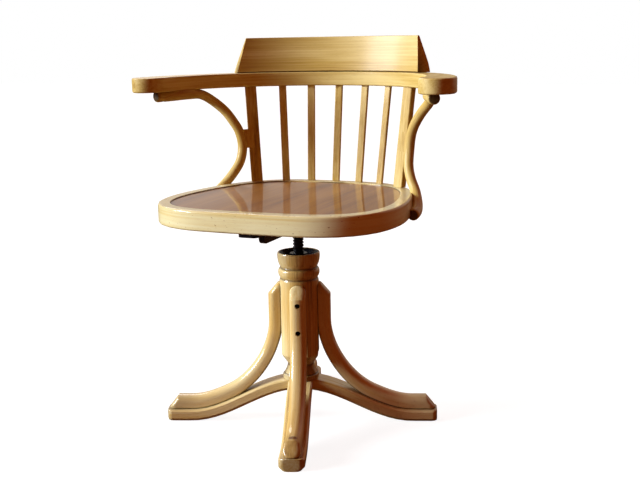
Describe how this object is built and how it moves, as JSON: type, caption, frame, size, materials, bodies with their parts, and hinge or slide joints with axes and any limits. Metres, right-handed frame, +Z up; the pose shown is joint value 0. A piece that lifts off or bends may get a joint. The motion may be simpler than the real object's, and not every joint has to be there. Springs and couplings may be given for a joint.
{
  "type": "swivel captains chair",
  "caption": "Bentwood captains chair that turns and rises on an iron screw, with a rounded arm bow, slatted back and bent legs on crossed stretchers",
  "frame": {"origin": "on the floor under the axis of the spindle", "axes": "+Z up, -Y the way the sitter faces, +X to the right as seen from the front"},
  "size_m": [0.6294, 0.4994, 0.7246],
  "materials": {
    "seat_wood": "clear lacquered beech, satin gloss",
    "panel_wood": "veneered panel under high gloss lacquer",
    "back_wood": "clear lacquered beech, satin gloss",
    "base_wood": "clear lacquered beech, satin gloss",
    "black_iron": "black painted cast iron",
    "screw_steel": "dulled steel screws"
  },
  "bodies": {
    "base": {"column": "base_wood", "stretcher_lower": "base_wood", "stretcher_upper": "base_wood", "column_bolt": "screw_steel", "leg_right": "base_wood", "leg_screw_right_low": "screw_steel", "leg_screw_right_high": "screw_steel", "foot_screw_right": "screw_steel", "leg_back": "base_wood", "leg_screw_back_low": "screw_steel", "leg_screw_back_high": "screw_steel", "foot_screw_back": "screw_steel", "leg_left": "base_wood", "leg_screw_left_low": "screw_steel", "leg_screw_left_high": "screw_steel", "foot_screw_left": "screw_steel", "leg_front": "base_wood", "leg_screw_front_low": "screw_steel", "leg_screw_front_high": "screw_steel", "foot_screw_front": "screw_steel"},
    "nut": {"spindle_nut": "black_iron"},
    "seat": {"spindle": "black_iron", "seat_bracket": "black_iron", "seat_ring": "seat_wood", "seat_panel": "panel_wood", "post_left": "back_wood", "post_right": "back_wood", "slat_1": "back_wood", "slat_2": "back_wood", "slat_3": "back_wood", "slat_4": "back_wood", "slat_5": "back_wood", "arm_bow": "back_wood", "crest_rail": "back_wood", "arm_support_left": "back_wood", "arm_support_right": "back_wood", "support_spacer_left": "back_wood", "support_spacer_right": "back_wood"}
  },
  "joints": [
    {"name": "seat_swivel", "type": "hinge", "parent": "base", "child": "nut", "pos_m": [0, 0, 0.3], "axis": [0, 0, 1], "range_deg": [-1440, 4320]},
    {"name": "seat_rise", "type": "slide", "parent": "nut", "child": "seat", "axis": [0, 0, 1], "range_m": [-0.024, 0.072]}
  ],
  "couplings": [
    {"joint": "seat_rise", "follows": "seat_swivel", "m_per_rad": 0.00095492}
  ]
}
